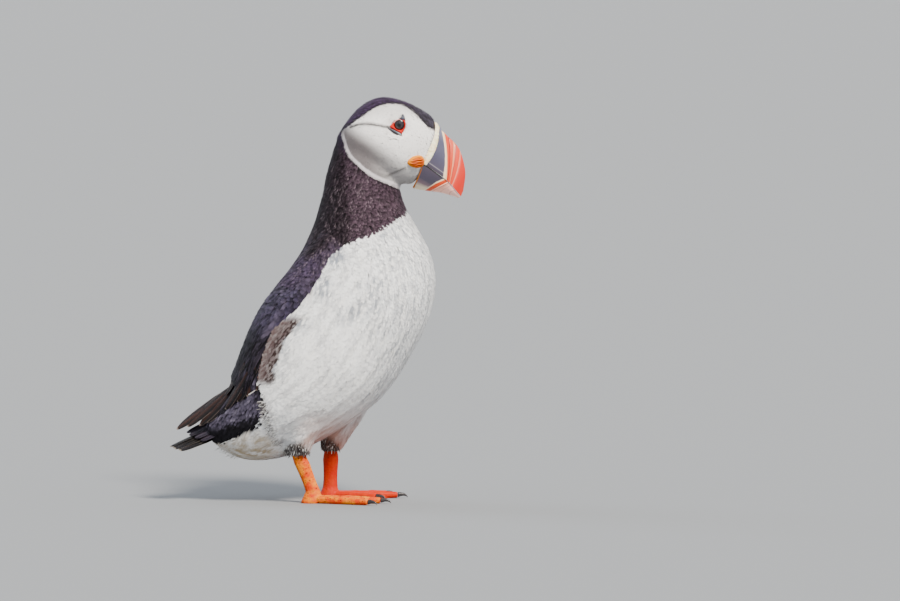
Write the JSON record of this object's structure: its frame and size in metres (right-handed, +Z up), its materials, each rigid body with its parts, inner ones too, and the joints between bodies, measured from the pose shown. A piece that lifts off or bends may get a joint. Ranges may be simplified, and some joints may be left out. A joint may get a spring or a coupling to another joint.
{
  "type": "atlantic puffin",
  "caption": "Life-size standing seabird with a black back, white breast, deep banded bill and webbed orange feet, in an upright resting pose.",
  "frame": {"origin": "middle of the bird's bounding box, on the floor between the soles", "axes": "+Z up, +X the way the bird faces, -Y to the bird's right"},
  "size_m": [0.169, 0.092, 0.2308],
  "materials": {
    "face_plumage": "soft short feathers, grey-white, darker at the crown",
    "dark_plumage": "soft feathers, brownish black with pale fringes",
    "white_plumage": "soft silky feathers, clean white",
    "rump_plumage": "soft feathers, slate above and white below",
    "flight_feathers": "firm feathers, black-brown with a low sheen",
    "bill_rim": "fleshy rim, ivory",
    "bill": "smooth horn in slate, cream and orange-red bands",
    "rosette": "wrinkled fleshy skin, yellow-orange",
    "eye": "wet, dark brown iris with a black pupil",
    "eye_ring": "bare fleshy skin, red",
    "eye_plate": "horny plate, blue-grey",
    "leg_skin": "scaly skin, bright orange with small dark specks",
    "claw": "smooth black horn"
  },
  "bodies": {
    "root": {"head": "face_plumage", "neck": "dark_plumage", "trunk": "white_plumage", "rump": "rump_plumage", "bill_rim": "bill_rim", "bill_upper": "bill", "bill_lower": "bill", "rosette_right": "rosette", "rosette_left": "rosette", "eye_right": "eye", "eye_ring_right": "eye_ring", "eye_plate_upper_right": "eye_plate", "eye_plate_lower_right": "eye_plate", "wing_right": "flight_feathers", "primaries_right": "flight_feathers", "thigh_right": "white_plumage", "tarsus_right": "leg_skin", "foot_right": "leg_skin", "claw_right_inner": "claw", "claw_right_middle": "claw", "claw_right_outer": "claw", "eye_left": "eye", "eye_ring_left": "eye_ring", "eye_plate_upper_left": "eye_plate", "eye_plate_lower_left": "eye_plate", "wing_left": "flight_feathers", "primaries_left": "flight_feathers", "thigh_left": "white_plumage", "tarsus_left": "leg_skin", "foot_left": "leg_skin", "claw_left_inner": "claw", "claw_left_middle": "claw", "claw_left_outer": "claw", "tail": "flight_feathers"}
  },
  "joints": []
}
